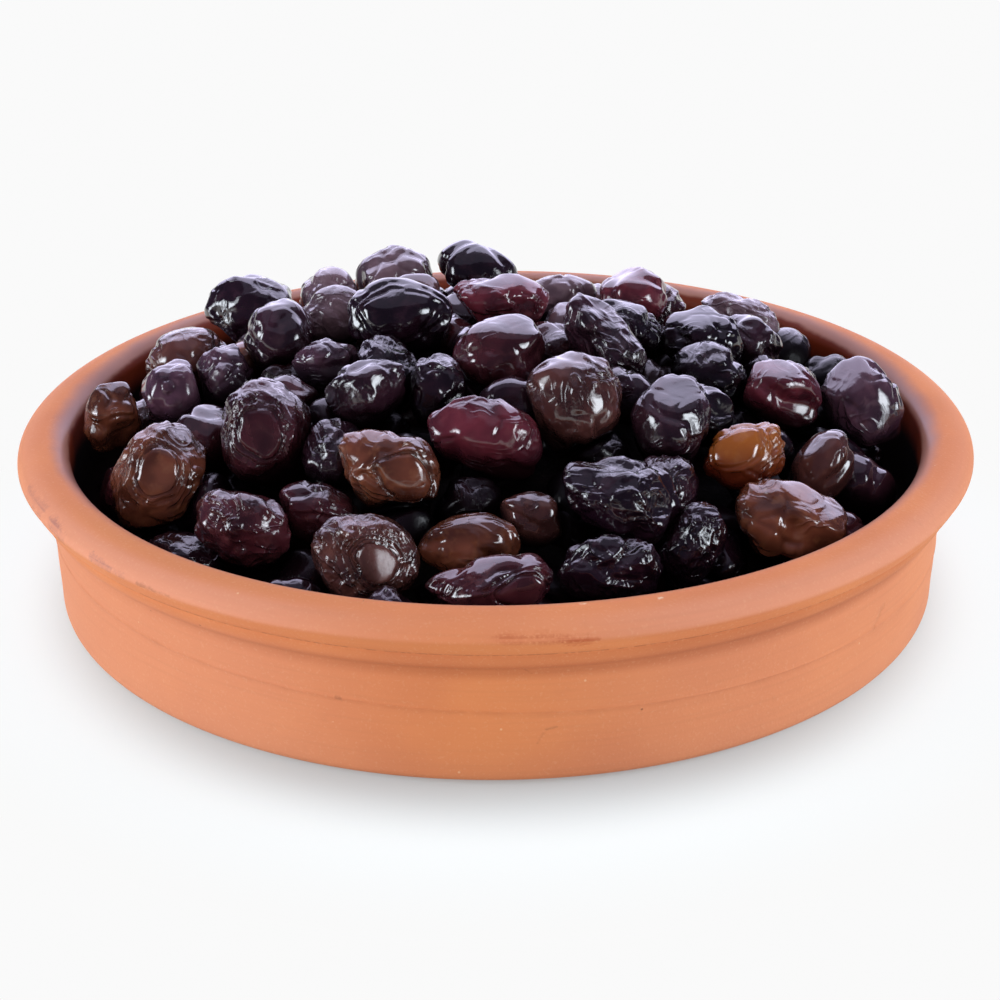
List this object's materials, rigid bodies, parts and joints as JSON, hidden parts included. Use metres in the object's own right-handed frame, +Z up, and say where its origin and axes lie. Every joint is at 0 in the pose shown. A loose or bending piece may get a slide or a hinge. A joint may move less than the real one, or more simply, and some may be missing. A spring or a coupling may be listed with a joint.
{
  "type": "dish of olives",
  "caption": "Shallow round terracotta tapas dish with a rolled rim, heaped with glossy wrinkled dry-cured black and brown olives. Stands on its flat foot.",
  "frame": {"origin": "centre of the dish's foot, on the surface that it stands on", "axes": "+Z up out of the dish, -Y towards the side that is seen first, +X to the right of that view"},
  "size_m": [0.18, 0.18, 0.0544],
  "materials": {
    "clay": "matte",
    "olive_skin": "gloss"
  },
  "bodies": {
    "root": {"dish": "clay", "olives": "olive_skin"}
  },
  "joints": []
}
